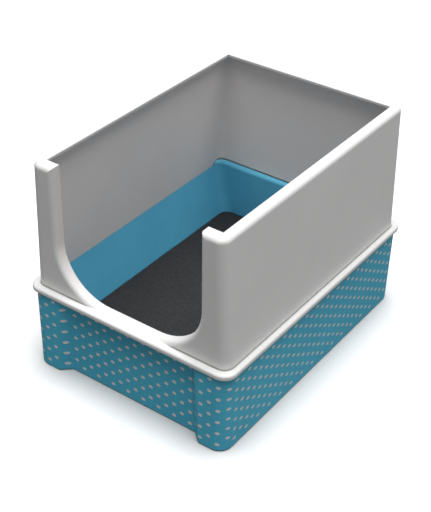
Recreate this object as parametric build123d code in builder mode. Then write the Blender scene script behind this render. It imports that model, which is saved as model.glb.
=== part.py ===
from build123d import *
import os

# High-sided cat litter box with a lift-off shield. Millimetres, +Z up.
# Origin: centre of the footprint, on the surface that the box stands on.
# X is the width, the entry cut faces -Y, and the tray grip is at +Y.

# ---- overall sizes ----
width_over_flange = 400.0
length_over_flange = 535.0
overall_height = 387.0
flange_top = 158.0
flange_height = 9.0

# ---- fits between the pieces ----
seat_gap = 0.3  # between stacked seats
side_gap = 0.7  # tray rim inside the flange skirt

# ---- shield ----
shield_wall = 4.0
shield_foot_inset_x = 10.5  # flange edge to the foot of the side walls
shield_foot_inset_y = 12.5
side_lean = 9.1  # how far each side wall leans in over its height
end_flare = 3.0  # how far each end wall leans out
shield_corner_r = 17.0
rim_width_sides = 16.4  # turned-in rim round the top
rim_width_ends = 20.6
rim_thickness = 4.0
rim_edge_r = 8.0  # outer edge of the rim and of the entry
skirt_wall = 2.5
flange_corner_r = 23.0
flange_edge_r = 4.0
flange_lower_edge_r = 1.4
flange_plate = 2.6

# ---- entry cut ----
entry_half_width = 139.0
entry_corner_r = 90.0
entry_sill_rise = 1.4  # sill above the flange top
entry_edge_cover = 0.5  # wall left over the turned-in edge at the foot

# ---- outer pan ----
pan_wall = 3.0
pan_floor = 3.0
pan_inset_x = 4.6  # flange edge to the pan at its top
pan_inset_y = 4.5
pan_draft_x = 2.6  # how much narrower each side is at the base
pan_end_flare = 1.2  # how much longer each end is at the base
pan_corner_r = 24.0
recess_depth = 16.0  # end panels set back between the corner columns
recess_top_half_width = 136.0
recess_foot_half_width = 144.0
recess_slope = 17.0  # width of each column's sloping flank
recess_edge_r = 5.0
pan_foot_r = 3.0
underside_rise = 2.0
underside_margin = 14.0

# ---- inner tray ----
tray_wall = 2.5
tray_rim = 2.8
tray_floor = 3.0
tray_clear_below = 1.0
tray_cover = 0.3  # how far the shield's inner face overhangs the tray's side wall
tray_end_ledge = 11.0  # tray end wall inside the shield's inner face
tray_side_draft = 34.5  # how much narrower each side is at the tray floor
tray_end_draft = 2.5
tray_top_corner_r = 18.0
tray_foot_corner_r = 20.0
tray_foot_edge_r = 2.5
grip_height = 8.0  # rounded lip round the back end, above the tray's rim
grip_front_r = 6.5
grip_back_r = 2.0

# ---- litter ----
litter_level = 60.0

# ---- construction allowances ----
overcut = 20.0  # how far a cutting shape runs past what it cuts
near = 0.6  # distance within which an edge counts as lying on a face

# ---- derived ----
half_w = width_over_flange / 2
half_l = length_over_flange / 2
flange_base = flange_top - flange_height
channel_top = flange_top - flange_plate  # seats on the tray rim
tray_rim_top = channel_top - seat_gap
pan_top = tray_rim_top - tray_rim - seat_gap
sill_top = flange_top + entry_sill_rise
foot_w = half_w - shield_foot_inset_x
foot_l = half_l - shield_foot_inset_y
top_w = foot_w - side_lean
top_l = foot_l + end_flare
lip_plane = top_l - rim_width_ends  # inner edge of the turned-in rim at the ends
skirt_w = half_w - skirt_wall
skirt_l = half_l - skirt_wall
pan_top_w = half_w - pan_inset_x
pan_top_l = half_l - pan_inset_y
tray_top_w = foot_w - shield_wall + tray_cover
tray_top_l = foot_l - shield_wall - tray_end_ledge
tray_foot_z = pan_floor + underside_rise + tray_clear_below
tray_floor_top = tray_foot_z + tray_floor


def pan_outline(hw, hl, recess, inset):
    """Plan of the pan, offset inwards by inset, with a panel of half-width recess set back at each end."""
    w = hw - inset
    l = hl - inset
    back = l - recess_depth
    outer = recess + inset / 2
    inner = outer - recess_slope
    with BuildSketch() as outline:
        RectangleRounded(2 * w, 2 * l, pan_corner_r - inset)
        for side in (1, -1):
            with BuildLine():
                Polyline(
                    (-outer, side * (l + overcut)),
                    (-outer, side * l),
                    (-inner, side * back),
                    (inner, side * back),
                    (outer, side * l),
                    (outer, side * (l + overcut)),
                    close=True,
                )
            make_face(mode=Mode.SUBTRACT)
        steps = [v for v in outline.vertices() if abs(v.X) < outer + near]
        fillet(steps, recess_edge_r)
    return outline.sketch


def shield_outline(z, inset):
    """Plan of the shield's walls at height z, offset inwards by inset."""
    t = (z - flange_top) / (overall_height - flange_top)
    w = foot_w - t * side_lean - inset
    l = foot_l + t * end_flare - inset
    with BuildSketch() as outline:
        RectangleRounded(2 * w, 2 * l, shield_corner_r - inset)
    return outline.sketch


def tray_outline(z, grow):
    """Plan of the tray's inner faces at height z, grown outwards by grow."""
    t = (tray_rim_top - z) / (tray_rim_top - tray_floor_top)
    corner = tray_top_corner_r + t * (tray_foot_corner_r - tray_top_corner_r)
    w = tray_top_w - t * tray_side_draft + grow
    l = tray_top_l - t * tray_end_draft + grow
    with BuildSketch() as outline:
        RectangleRounded(2 * w, 2 * l, corner + grow)
    return outline.sketch


def entry_outline(grow):
    """U-shaped entry cut in the end wall, grown outwards by grow."""
    w = entry_half_width + grow
    r = entry_corner_r + grow
    low = sill_top - grow
    high = overall_height + overcut
    with BuildSketch() as outline:
        with BuildLine():
            Line((-w, high), (-w, low + r))
            CenterArc((-w + r, low + r), r, 180, 90)
            Line((-w + r, low), (w - r, low))
            CenterArc((w - r, low + r), r, 270, 90)
            Line((w, low + r), (w, high))
            Line((w, high), (-w, high))
        make_face()
    return outline.sketch


os.makedirs("parts", exist_ok=True)

# ---- outer pan: a straight-sided tub with corner columns ----
pan_foot_w = pan_top_w - pan_draft_x
pan_foot_l = pan_top_l + pan_end_flare
with BuildPart() as outer_pan:
    with BuildSketch(Plane.XY):
        add(pan_outline(pan_foot_w, pan_foot_l, recess_foot_half_width, 0))
    with BuildSketch(Plane.XY.offset(pan_top)):
        add(pan_outline(pan_top_w, pan_top_l, recess_top_half_width, 0))
    loft()
    foot_edges = outer_pan.edges().group_by(Axis.Z)[0]
    fillet(foot_edges, pan_foot_r)
    with BuildSketch(Plane.XY.offset(pan_floor + underside_rise)):
        add(pan_outline(pan_foot_w, pan_foot_l, recess_foot_half_width, pan_wall))
    with BuildSketch(Plane.XY.offset(pan_top)):
        add(pan_outline(pan_top_w, pan_top_l, recess_top_half_width, pan_wall))
    loft(mode=Mode.SUBTRACT)
    with BuildSketch(Plane.XY):
        RectangleRounded(
            2 * (pan_foot_w - underside_margin),
            2 * (pan_foot_l - recess_depth - underside_margin),
            pan_corner_r - underside_margin / 2,
        )
    extrude(amount=underside_rise, mode=Mode.SUBTRACT)

outer_pan.part.label = "outer_pan"
export_step(outer_pan.part, "parts/outer_pan.step")

# ---- inner tray: sloped sides, a flat rim on the pan's wall, a rounded lip round the back ----
lip_depth = tray_end_ledge - side_gap
lip_base = tray_rim_top - tray_rim / 2
lip_top = tray_rim_top + grip_height
with BuildPart() as back_lip:
    with BuildLine(Plane.XY.offset(lip_base)) as lip_path:
        turn_w = tray_top_w - tray_top_corner_r
        turn_l = tray_top_l - tray_top_corner_r
        CenterArc((turn_w, turn_l), tray_top_corner_r, 0, 90)
        Line((turn_w, tray_top_l), (-turn_w, tray_top_l))
        CenterArc((-turn_w, turn_l), tray_top_corner_r, 90, 90)
    across_lip = Plane(origin=(tray_top_w, turn_l, 0), x_dir=(1, 0, 0), z_dir=(0, 1, 0))
    with BuildSketch(across_lip) as lip_section:
        with BuildLine():
            Polyline(
                (0, -lip_base),
                (lip_depth, -lip_base),
                (lip_depth, -lip_top),
                (0, -lip_top),
                close=True,
            )
        make_face()
        crest = lip_section.vertices().group_by(Axis.Y)[0].sort_by(Axis.X)
        fillet(crest[0], grip_front_r)
        crest = lip_section.vertices().group_by(Axis.Y)[0].sort_by(Axis.X)
        fillet(crest[-1], grip_back_r)
    sweep(path=lip_path.wires()[0])
    with BuildSketch(Plane.XY.offset(lip_base)):
        RectangleRounded(
            2 * (foot_w - shield_wall - side_gap),
            2 * (foot_l - shield_wall - side_gap),
            shield_corner_r - shield_wall - side_gap,
        )
    extrude(amount=lip_top - lip_base, mode=Mode.INTERSECT)

with BuildPart() as inner_tray:
    with BuildSketch(Plane.XY.offset(tray_foot_z)):
        add(tray_outline(tray_foot_z, tray_wall))
    with BuildSketch(Plane.XY.offset(tray_rim_top)):
        add(tray_outline(tray_rim_top, tray_wall))
    loft()
    foot_edges = inner_tray.edges().group_by(Axis.Z)[0]
    fillet(foot_edges, tray_foot_edge_r)
    with BuildSketch(Plane.XY.offset(tray_rim_top - tray_rim)):
        RectangleRounded(
            2 * (skirt_w - side_gap),
            2 * (skirt_l - side_gap),
            flange_corner_r - skirt_wall - side_gap,
        )
    extrude(amount=tray_rim)
    add(back_lip.part)
    with BuildSketch(Plane.XY.offset(tray_floor_top)):
        add(tray_outline(tray_floor_top, 0))
    with BuildSketch(Plane.XY.offset(tray_rim_top)):
        add(tray_outline(tray_rim_top, 0))
    loft(mode=Mode.SUBTRACT)

inner_tray.part.label = "inner_tray"
export_step(inner_tray.part, "parts/inner_tray.step")

# ---- litter bed: levelled loose fill that takes the shape of the tray ----
with BuildPart() as litter_bed:
    with BuildSketch(Plane.XY.offset(tray_floor_top)):
        add(tray_outline(tray_floor_top, 0))
    with BuildSketch(Plane.XY.offset(tray_rim_top)):
        add(tray_outline(tray_rim_top, 0))
    loft()
    split(bisect_by=Plane.XY.offset(litter_level), keep=Keep.BOTTOM)

litter_bed.part.label = "litter_bed"
export_step(litter_bed.part, "parts/litter_bed.step")

# ---- shield: leaning walls with a turned-in rim, a U-shaped entry and a skirted flange ----
rim_open_w = top_w - rim_width_sides
with BuildPart() as hood_shield:
    for z in (flange_base, overall_height):
        with BuildSketch(Plane.XY.offset(z)):
            add(shield_outline(z, 0))
    loft()
    for z in (flange_base, overall_height - rim_thickness):
        with BuildSketch(Plane.XY.offset(z)):
            add(shield_outline(z, shield_wall))
    loft(mode=Mode.SUBTRACT)
    with BuildSketch(Plane.XY.offset(overall_height)):
        Rectangle(2 * rim_open_w, 2 * lip_plane)
    extrude(amount=-rim_thickness - overcut, mode=Mode.SUBTRACT)
    # Turned-in edge round the entry, then the entry itself.
    with BuildSketch(Plane.XZ.offset(lip_plane)):
        add(entry_outline(rim_thickness))
        with Locations((0, overall_height)):
            Rectangle(
                width_over_flange,
                2 * overcut,
                align=(Align.CENTER, Align.MIN),
                mode=Mode.SUBTRACT,
            )
    extrude(amount=foot_l - lip_plane - entry_edge_cover)
    with BuildSketch(Plane.XZ.offset(lip_plane - overcut)):
        add(entry_outline(0))
    extrude(amount=rim_width_ends + 2 * overcut, mode=Mode.SUBTRACT)

    def on_outside(edge):
        """True for an edge on the outer faces of the walls."""
        p = edge.center()
        t = (p.Z - flange_top) / (overall_height - flange_top)
        w = foot_w - t * side_lean
        l = foot_l + t * end_flare
        return abs(p.X) > w - shield_corner_r / 2 or abs(p.Y) > l - near

    top = [e for e in hood_shield.edges().group_by(Axis.Z)[-1] if on_outside(e)]
    entry = [
        e for e in hood_shield.edges()
        if on_outside(e)
        and abs(e.center().X) < entry_half_width + near
        and e.center().Y < 0
        and flange_top < e.center().Z < overall_height - near
    ]
    fillet(top + entry, rim_edge_r)
    with BuildSketch(Plane.XY.offset(flange_base)):
        RectangleRounded(2 * half_w, 2 * half_l, flange_corner_r)
        RectangleRounded(
            2 * (foot_w - shield_wall),
            2 * (foot_l - shield_wall),
            shield_corner_r - shield_wall,
            mode=Mode.SUBTRACT,
        )
    extrude(amount=flange_height)

    def on_flange_rim(edge):
        """True for an edge on the flange's outer face."""
        p = edge.center()
        clear = flange_corner_r / 3
        return abs(p.X) > half_w - clear or abs(p.Y) > half_l - clear

    def flange_rim_at(z):
        """Edges of the flange's outer face at height z."""
        level = [e for e in hood_shield.edges() if abs(e.center().Z - z) < near]
        return [e for e in level if on_flange_rim(e)]

    fillet(flange_rim_at(flange_top), flange_edge_r)
    fillet(flange_rim_at(flange_base), flange_lower_edge_r)
    with BuildSketch(Plane.XY.offset(flange_base)):
        RectangleRounded(2 * skirt_w, 2 * skirt_l, flange_corner_r - skirt_wall)
    extrude(amount=channel_top - flange_base, mode=Mode.SUBTRACT)

hood_shield.part.label = "hood_shield"
export_step(hood_shield.part, "parts/hood_shield.step")
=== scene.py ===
import math

import bpy
from mathutils import Matrix, Vector, noise


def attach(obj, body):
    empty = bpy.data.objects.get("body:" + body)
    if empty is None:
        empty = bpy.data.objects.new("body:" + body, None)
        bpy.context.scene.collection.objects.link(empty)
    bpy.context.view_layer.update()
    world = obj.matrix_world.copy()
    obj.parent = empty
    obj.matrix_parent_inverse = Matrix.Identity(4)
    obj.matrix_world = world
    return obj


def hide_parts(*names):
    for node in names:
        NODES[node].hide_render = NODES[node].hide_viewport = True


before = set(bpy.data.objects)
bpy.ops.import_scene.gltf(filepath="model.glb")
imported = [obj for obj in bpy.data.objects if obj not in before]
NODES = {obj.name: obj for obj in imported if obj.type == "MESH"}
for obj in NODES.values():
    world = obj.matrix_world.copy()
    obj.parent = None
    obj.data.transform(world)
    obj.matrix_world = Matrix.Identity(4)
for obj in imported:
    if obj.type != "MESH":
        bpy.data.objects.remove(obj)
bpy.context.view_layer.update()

# Colours are linear.
SHIELD_WHITE = (0.822, 0.820, 0.815, 1)
SHIELD_SHADE = (0.792, 0.790, 0.785, 1)
INSIDE_LIGHT_TINT = (1.055, 1.005, 0.985, 1)  # painted light: the shield's inner faces are painted a slightly warmer and brighter white than its outside
PAN_BLUE = (0.095, 0.55, 0.77, 1)
PAN_SHADE = (0.080, 0.50, 0.71, 1)
TRAY_BLUE = (0.125, 0.50, 0.72, 1)
TRAY_SHADE = (0.105, 0.45, 0.66, 1)
DOT_WHITE = (0.86, 0.84, 0.83, 1)
DOT_SHADE = (0.78, 0.76, 0.76, 1)
LITTER_DARK = (0.018, 0.018, 0.019, 1)
LITTER_LIGHT = (0.045, 0.045, 0.047, 1)
CREVICE_SHADE = 0.15  # painted shade: how much of the colour is left in the tightest crevices
SATIN_SPECULAR = 0.45  # of the three mouldings
FACING_UP = -0.05  # a limit for outwards() that the shield's inner walls fall below and its rims don't

# The printed dots, in metres, on the ends and on the sides: half the pitch, one dot's centre
# and a dot's half axes. The first value of each pair is across, the second up.
END_DOTS = {"pitch": (0.0156, 0.0114), "start": (0.0078, 0.1174), "dot": (0.0040, 0.0029)}
SIDE_DOTS = {"pitch": (0.0162, 0.0099), "start": (0.0081, 0.1258), "dot": (0.0044, 0.0026)}
DOTS_ABOVE = 0.0105  # no dots on the rounded foot below this height


# ---- measures taken from the nodes ----
def outline_of(node, at_top):
    """Half width, half length, corner radius and height of a node's top or bottom face."""
    points = [v.co for v in NODES[node].data.vertices]
    level = max(p.z for p in points) if at_top else min(p.z for p in points)
    face = [p for p in points if abs(p.z - level) < 1e-5]
    half_w = max(p.x for p in face)
    half_l = max(p.y for p in face)
    straight = max(p.x for p in face if p.y > half_l - 1e-5)
    return half_w, half_l, half_w - straight, level


# ---- shader helper ----
class Graph:
    """A material's node tree, with short calls for what the materials share."""

    def __init__(self, name):
        self.material = bpy.data.materials.new(name)
        self.material.use_nodes = True
        self.nodes = self.material.node_tree.nodes
        self.links = self.material.node_tree.links
        self.shader = self.nodes["Principled BSDF"]
        self.place = self.add("ShaderNodeTexCoord").outputs["Object"]

    def feed(self, socket, value):
        """Links value if it is a socket, or else sets it."""
        if isinstance(value, bpy.types.NodeSocket):
            self.links.new(value, socket)
        else:
            socket.default_value = value

    def add(self, kind, inputs=None, **settings):
        node = self.nodes.new(kind)
        for key, value in settings.items():
            setattr(node, key, value)
        for key, value in (inputs or {}).items():
            self.feed(node.inputs[key], value)
        return node

    def math(self, operation, a, b=0.0, c=0.0):
        node = self.add("ShaderNodeMath", operation=operation)
        for socket, value in zip(node.inputs, (a, b, c)):
            self.feed(socket, value)
        return node.outputs[0]

    def noise(self, scale, detail=2.0, rough=0.5):
        """Noise at the object's own coordinates. scale is in cycles per metre."""
        node = self.add("ShaderNodeTexNoise", {"Scale": scale, "Detail": detail, "Roughness": rough})
        self.links.new(self.place, node.inputs["Vector"])
        return node.outputs["Fac"]

    def remap(self, value, start, end, low, high):
        """Maps start..end to low..high, clamped."""
        node = self.add(
            "ShaderNodeMapRange",
            {"Value": value, "From Min": start, "From Max": end, "To Min": low, "To Max": high},
        )
        return node.outputs["Result"]

    def mix(self, factor, a, b):
        node = self.add("ShaderNodeMix", data_type="RGBA")
        self.feed(node.inputs[0], factor)
        self.feed(node.inputs[6], a)
        self.feed(node.inputs[7], b)
        return node.outputs[2]

    def bump(self, height, distance, strength=1.0, normal=None):
        node = self.add("ShaderNodeBump", {"Height": height, "Distance": distance, "Strength": strength})
        if normal is not None:
            self.links.new(normal, node.inputs["Normal"])
        return node.outputs["Normal"]

    def painted_crevice_shade(self, reach):
        """Painted shade: 1 in the open, falling to its darkest set level where two faces or pieces meet.
        """
        node = self.add("ShaderNodeAmbientOcclusion", {"Distance": reach}, samples=12)
        return self.remap(node.outputs["AO"], 0.45, 0.85, CREVICE_SHADE, 1.0)

    def scuffs(self, stretch):
        """About 1 on a few fine scratches that run across the stretch, 0 elsewhere."""
        drawn = self.add("ShaderNodeVectorMath", {1: stretch}, operation="MULTIPLY")
        self.links.new(self.place, drawn.inputs[0])
        fine = self.add("ShaderNodeTexNoise", {"Scale": 1.0, "Detail": 2.0})
        self.links.new(drawn.outputs[0], fine.inputs["Vector"])
        patches = self.remap(self.noise(11.0, 2.0), 0.52, 0.62, 0.0, 1.0)
        return self.math("MULTIPLY", self.remap(fine.outputs["Fac"], 0.66, 0.72, 0.0, 1.0), patches)

    def outwards(self, limit=0.0):
        """0 where the surface faces the piece's upright centre line, and 1 elsewhere.

        A limit below 0 also counts as outwards the surfaces that face up, or barely lean in.
        """
        place = self.add("ShaderNodeSeparateXYZ", {0: self.place})
        facing = self.add("ShaderNodeSeparateXYZ")
        self.links.new(self.add("ShaderNodeNewGeometry").outputs["Normal"], facing.inputs[0])
        out_x = self.math("MULTIPLY", facing.outputs[0], place.outputs[0])
        out = self.math("MULTIPLY_ADD", facing.outputs[1], place.outputs[1], out_x)
        return self.math("GREATER_THAN", out, limit)

    def multiply(self, color, by):
        """The colour times another colour."""
        node = self.add("ShaderNodeMix", {0: 1.0}, data_type="RGBA", blend_type="MULTIPLY")
        self.feed(node.inputs[6], color)
        self.feed(node.inputs[7], by)
        return node.outputs[2]

    def shaded(self, color, level):
        """The colour scaled by level."""
        grey = self.add("ShaderNodeCombineColor", {0: level, 1: level, 2: level})
        return self.multiply(color, grey.outputs[0])

    def output(self, **sockets):
        for name, value in sockets.items():
            self.feed(self.shader.inputs[name.replace("_", " ")], value)
        return self.material


def moulded_skin(g):
    """The fine spark-eroded grain and the slight waviness of an injection moulding."""
    waves = g.bump(g.noise(22.0, 1.0), 0.0006, 0.25)
    return g.bump(g.noise(2200.0, 2.0, 0.6), 0.00003, 0.5, waves)


def handling_roughness(g, low, high):
    """Roughness that drifts over the piece, with faint rubbed streaks."""
    broad = g.noise(9.0, 4.0, 0.6)
    streaks = g.noise(140.0, 3.0, 0.7)
    blend = g.math("MULTIPLY_ADD", streaks, 0.35, g.math("MULTIPLY", broad, 0.65))
    return g.remap(blend, 0.3, 0.7, low, high)


def plastic(name, base, shade, reach, rough):
    """The graph, colour (with painted shade where faces meet), roughness and normal of one satin moulding.
    """
    g = Graph(name)
    tone = g.mix(g.remap(g.noise(7.0, 4.0, 0.6), 0.35, 0.65, 0.0, 1.0), shade, base)
    scuffs = g.scuffs((30.0, 30.0, 900.0))
    # painted shade: the colour is darkened where faces or pieces meet
    tone = g.shaded(tone, g.painted_crevice_shade(reach))
    roughness = g.math("MULTIPLY_ADD", scuffs, 0.15, handling_roughness(g, *rough))
    return g, tone, roughness, g.bump(scuffs, -0.00002, 0.5, moulded_skin(g))


def shield_material():
    g, tone, roughness, normal = plastic(
        "white_satin_plastic", SHIELD_WHITE, SHIELD_SHADE, 0.005, (0.36, 0.52)
    )
    # painted light: faces turned inwards are painted a slightly warmer, brighter white
    tone = g.mix(g.outwards(FACING_UP), g.multiply(tone, INSIDE_LIGHT_TINT), tone)
    return g.output(Base_Color=tone, Roughness=roughness, Normal=normal, Specular_IOR_Level=SATIN_SPECULAR)


def tray_material():
    g, tone, roughness, normal = plastic(
        "blue_tray_plastic", TRAY_BLUE, TRAY_SHADE, 0.006, (0.34, 0.50)
    )
    return g.output(Base_Color=tone, Roughness=roughness, Normal=normal, Specular_IOR_Level=SATIN_SPECULAR)


def dot_pattern(g, across, up, dots):
    """1 inside the dots of a staggered lattice and 0 outside, with slightly ragged edges."""
    ragged = g.math("MULTIPLY", g.math("SUBTRACT", g.noise(900.0, 2.0), 0.5), 0.25)

    def nearest(shift):
        """Distance to the nearest dot centre, in half axes."""
        parts = []
        for value, half, start, axis in zip((across, up), dots["pitch"], dots["start"], dots["dot"]):
            turns = g.math("ADD", g.math("DIVIDE", g.math("SUBTRACT", value, start), 2 * half), shift)
            part = g.math("SUBTRACT", turns, g.math("ROUND", turns))
            parts.append(g.math("MULTIPLY", part, 2 * half / axis))
        squares = g.math("MULTIPLY_ADD", parts[0], parts[0], g.math("MULTIPLY", parts[1], parts[1]))
        return g.math("SQRT", squares)

    distance = g.math("ADD", g.math("MINIMUM", nearest(0.0), nearest(0.5)), ragged)
    return g.remap(distance, 0.92, 1.08, 1.0, 0.0)


def past(g, value, limit):
    """How far the size of value lies past limit, never less than 0."""
    return g.math("MAXIMUM", g.math("SUBTRACT", g.math("ABSOLUTE", value), limit), 0.0)


def round_the_corner(g, value, limit, arc):
    """value up to limit, then the length of arc round the corner, with value's own sign."""
    length = g.math("ADD", g.math("MINIMUM", g.math("ABSOLUTE", value), limit), arc)
    return g.math("MULTIPLY", length, g.math("SIGN", value))


def pan_material():
    g, ground, roughness, normal = plastic(
        "blue_dotted_plastic", PAN_BLUE, PAN_SHADE, 0.005, (0.36, 0.52)
    )
    half_w, half_l, corner, _ = outline_of("outer_pan", True)
    turn_w, turn_l = half_w - corner, half_l - corner
    axes = g.add("ShaderNodeSeparateXYZ")
    g.links.new(g.place, axes.inputs[0])
    x, y, z = axes.outputs
    angle = g.math("ARCTAN2", past(g, x, turn_w), past(g, y, turn_l))
    side = g.math("GREATER_THAN", angle, math.pi / 4)
    along_end = round_the_corner(g, x, turn_w, g.math("MULTIPLY", angle, corner))
    rest = g.math("SUBTRACT", math.pi / 2, angle)
    along_side = round_the_corner(g, y, turn_l, g.math("MULTIPLY", rest, corner))
    printed = g.math("MULTIPLY", g.outwards(), g.math("GREATER_THAN", z, DOTS_ABOVE))
    on_side = g.math("MULTIPLY", dot_pattern(g, along_side, z, SIDE_DOTS), side)
    off_side = g.math("SUBTRACT", 1.0, side)
    on_end = g.math("MULTIPLY", dot_pattern(g, along_end, z, END_DOTS), off_side)
    dot = g.math("MULTIPLY", g.math("ADD", on_side, on_end), printed)
    ink = g.mix(g.noise(500.0, 3.0, 0.6), DOT_SHADE, DOT_WHITE)
    return g.output(
        Base_Color=g.mix(dot, ground, ink),
        Roughness=g.math("MULTIPLY_ADD", dot, -0.08, roughness),
        Normal=g.bump(dot, 0.00006, 0.6, normal),
        Specular_IOR_Level=SATIN_SPECULAR,
    )


def litter_material():
    g = Graph("dark_litter")
    grain = g.add("ShaderNodeTexVoronoi", {"Scale": 420.0, "Randomness": 1.0})
    g.links.new(g.place, grain.inputs["Vector"])
    shade = g.add("ShaderNodeSeparateColor")
    g.links.new(grain.outputs["Color"], shade.inputs[0])
    dust = g.noise(25.0, 3.0)
    fine = g.noise(1500.0, 3.0, 0.7)
    tone = g.math("MULTIPLY_ADD", fine, 0.35, g.math("MULTIPLY", shade.outputs[0], 0.45))
    tone = g.math("MULTIPLY_ADD", dust, 0.2, tone)
    return g.output(
        Base_Color=g.mix(tone, LITTER_DARK, LITTER_LIGHT),
        Roughness=g.remap(fine, 0.3, 0.7, 0.78, 0.95),
        Normal=g.bump(fine, 0.0004, 0.7),
        Specular_IOR_Level=0.2,
    )


def paint(obj, material):
    obj.data.materials.clear()
    obj.data.materials.append(material)


# ---- litter ----
GRAIN_STEP = 0.0014  # spacing of the height field
GRAIN_SIZE = 0.0034  # one granule
GRAIN_DOME = 0.0010  # how far a granule's middle stands above its edge
GRAIN_RADIUS = 0.75  # of that dome, in granules
GRAIN_UNEVEN = 0.0003  # scale of the height difference between granules
BASE_LEVEL = -0.0022  # the surface between granules, over the bed's top
SWELLS = ((9.0, 0.0008), (31.0, 0.0005))  # broad waves: cycles per metre, height
WALL_SLACK = 0.0002  # between the litter and the tray


def into_outline(x, y, half_w, half_l, corner):
    """Moves a point of the full rectangle into the one with round corners."""
    dx = abs(x) - (half_w - corner)
    dy = abs(y) - (half_l - corner)
    if dx <= 0 or dy <= 0:
        return x, y
    pull = max(dx, dy) / math.hypot(dx, dy)
    return (
        math.copysign(half_w - corner + dx * pull, x),
        math.copysign(half_l - corner + dy * pull, y),
    )


def litter_height(x, y):
    """Height of the litter's surface over the bed's top, mostly negative."""
    at = Vector((x, y, 0))
    near = noise.voronoi(at / GRAIN_SIZE)[0]
    dome = math.sqrt(max(0.0, 1.0 - (near[0] / GRAIN_RADIUS) ** 2))
    uneven = noise.cell(at / GRAIN_SIZE)
    swell = sum(noise.noise(at * scale) * height for scale, height in SWELLS)
    return BASE_LEVEL + swell + dome * GRAIN_DOME + uneven * GRAIN_UNEVEN


def make_litter():
    half_w, half_l, corner, top = outline_of("litter_bed", True)
    low_w, low_l, low_corner, base = outline_of("litter_bed", False)
    half_w, half_l = half_w - WALL_SLACK, half_l - WALL_SLACK
    low_w, low_l = low_w - WALL_SLACK, low_l - WALL_SLACK
    across = int(2 * half_w / GRAIN_STEP)
    along = int(2 * half_l / GRAIN_STEP)

    def place(i, j, wide, long, radius):
        """The plan position of column i and row j in an outline of this size."""
        u, v = 2 * i / across - 1, 2 * j / along - 1
        return into_outline(u * wide, v * long, wide, long, radius)

    points, faces = [], []
    for j in range(along + 1):
        for i in range(across + 1):
            x, y = place(i, j, half_w, half_l, corner)
            points.append((x, y, top + litter_height(x, y)))
    for j in range(along):
        for i in range(across):
            a = j * (across + 1) + i
            faces.append((a, a + 1, a + across + 2, a + across + 1))
    rim = list(range(across + 1))
    rim += [j * (across + 1) + across for j in range(1, along + 1)]
    rim += [along * (across + 1) + i for i in range(across - 1, -1, -1)]
    rim += [j * (across + 1) for j in range(along - 1, 0, -1)]
    start = len(points)
    for k in rim:
        x, y = place(k % (across + 1), k // (across + 1), low_w, low_l, low_corner)
        points.append((x, y, base + WALL_SLACK))
    count = len(rim)
    for k in range(count):
        n = (k + 1) % count
        faces.append((rim[k], start + k, start + n, rim[n]))
    faces.append(tuple(start + k for k in range(count - 1, -1, -1)))
    mesh = bpy.data.meshes.new("litter_surface")
    mesh.from_pydata(points, [], faces)
    mesh.validate()
    for polygon in mesh.polygons:
        polygon.use_smooth = True
    mesh.update()
    piece = bpy.data.objects.new("litter_surface", mesh)
    bpy.context.scene.collection.objects.link(piece)
    return piece


# ---- floor, light and camera ----
def make_floor():
    """A white floor with a painted shadow that darkens it near the box; it throws no light back on the
    box.
    """
    size = 8.0
    contact_reach = 0.055
    contact_shade = 0.74
    corners = [(-size, -size, 0), (size, -size, 0), (size, size, 0), (-size, size, 0)]
    mesh = bpy.data.meshes.new("floor")
    mesh.from_pydata(corners, [], [(0, 1, 2, 3)])
    floor = bpy.data.objects.new("floor", mesh)
    bpy.context.scene.collection.objects.link(floor)
    g = Graph("pale_floor")
    # painted shadow: the floor's colour is darkened near the box
    near = g.add("ShaderNodeAmbientOcclusion", {"Distance": contact_reach}, samples=12).outputs["AO"]
    shade = g.remap(near, 0.5, 1.0, contact_shade, 1.0)
    paint(floor, g.output(
        Base_Color=g.shaded((0.95, 0.95, 0.95, 1), shade),
        Roughness=0.95,
        Specular_IOR_Level=0.1,
    ))
    floor.visible_diffuse = False
    floor.visible_glossy = False


def make_backdrop():
    """A white screen far behind the floor's horizon, seen by the camera and lighting nothing."""
    radius, height, sides = 7.9, 6.0, 64
    points, faces = [], []
    for i in range(sides):
        turn = 2 * math.pi * i / sides
        for z in (-0.01, height):
            points.append((radius * math.cos(turn), radius * math.sin(turn), z))
        n = (i + 1) % sides
        faces.append((2 * i, 2 * n, 2 * n + 1, 2 * i + 1))
    mesh = bpy.data.meshes.new("backdrop")
    mesh.from_pydata(points, [], faces)
    screen = bpy.data.objects.new("backdrop", mesh)
    bpy.context.scene.collection.objects.link(screen)
    g = Graph("white_screen")
    paint(screen, g.output(
        Base_Color=(0, 0, 0, 1),
        Emission_Color=(1, 1, 1, 1),
        Emission_Strength=1.0,
        Specular_IOR_Level=0.0,
    ))
    for ray in ("diffuse", "glossy", "transmission", "shadow", "volume_scatter"):
        setattr(screen, "visible_" + ray, False)


def make_sun(strength, spread, towards):
    """A wide soft light from overhead, the same at every distance. It lies in the direction towards."""
    lamp = bpy.data.lights.new("overhead", "SUN")
    lamp.energy = strength
    lamp.angle = math.radians(spread)
    obj = bpy.data.objects.new("overhead", lamp)
    obj.location = Vector(towards) * 3
    obj.rotation_euler = Vector(towards).to_track_quat("Z", "Y").to_euler()
    bpy.context.scene.collection.objects.link(obj)


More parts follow.
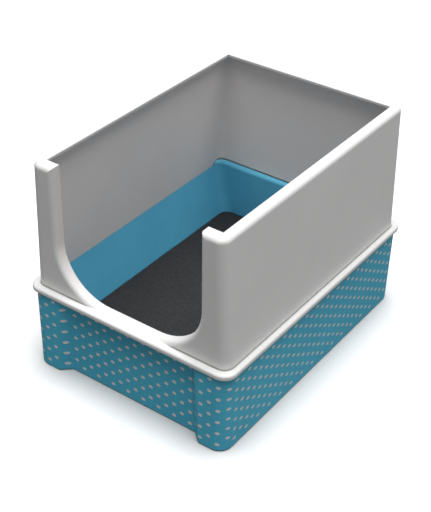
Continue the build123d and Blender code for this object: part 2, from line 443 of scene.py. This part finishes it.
def make_world(below, above, lean):
    """An even studio, dimmer below the horizon and brighter towards +X by lean."""
    world = bpy.data.worlds.new("studio")
    world.use_nodes = True
    nodes, links = world.node_tree.nodes, world.node_tree.links
    place = nodes.new("ShaderNodeTexCoord")
    axes = nodes.new("ShaderNodeSeparateXYZ")
    ramp = nodes.new("ShaderNodeMapRange")
    ramp.inputs["From Min"].default_value = -0.3
    ramp.inputs["From Max"].default_value = 0.3
    ramp.inputs["To Min"].default_value = below
    ramp.inputs["To Max"].default_value = above
    tilt = nodes.new("ShaderNodeMath")
    tilt.operation = "MULTIPLY_ADD"
    tilt.use_clamp = True
    tilt.inputs[1].default_value = lean
    links.new(place.outputs["Generated"], axes.inputs[0])
    links.new(axes.outputs[2], ramp.inputs["Value"])
    links.new(axes.outputs[0], tilt.inputs[0])
    links.new(ramp.outputs["Result"], tilt.inputs[2])
    links.new(tilt.outputs[0], nodes["Background"].inputs["Strength"])
    nodes["Background"].inputs["Color"].default_value = (1, 1, 1, 1)
    bpy.context.scene.world = world


def make_camera():
    azimuth, elevation, roll = map(math.radians, (35.10, 34.63, 1.30))
    target = Vector((-0.0083, -0.0099, 0.1506))
    distance = 1.9632
    focal_pixels = 1158.3
    long_side = 512
    back = Vector((
        math.sin(azimuth) * math.cos(elevation),
        -math.cos(azimuth) * math.cos(elevation),
        math.sin(elevation),
    ))
    level = Vector((math.cos(azimuth), math.sin(azimuth), 0))
    rise = back.cross(level)
    right = level * math.cos(roll) + rise * math.sin(roll)
    up = rise * math.cos(roll) - level * math.sin(roll)
    data = bpy.data.cameras.new("camera")
    data.sensor_width = 36.0
    data.lens = focal_pixels * data.sensor_width / long_side
    camera = bpy.data.objects.new("camera", data)
    turn = Matrix((right, up, back)).transposed().to_4x4()
    camera.matrix_world = Matrix.Translation(target + back * distance) @ turn
    bpy.context.scene.collection.objects.link(camera)
    bpy.context.scene.camera = camera


paint(NODES["hood_shield"], shield_material())
paint(NODES["inner_tray"], tray_material())
paint(NODES["outer_pan"], pan_material())

litter = make_litter()
paint(litter, litter_material())
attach(litter, "tray")
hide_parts("litter_bed")

make_floor()
make_backdrop()
make_world(0.12, 0.31, 0.07)
make_sun(3.5, 60.0, (0.06, 0.0, 1.0))
make_camera()
bpy.context.scene.view_settings.view_transform = "Standard"
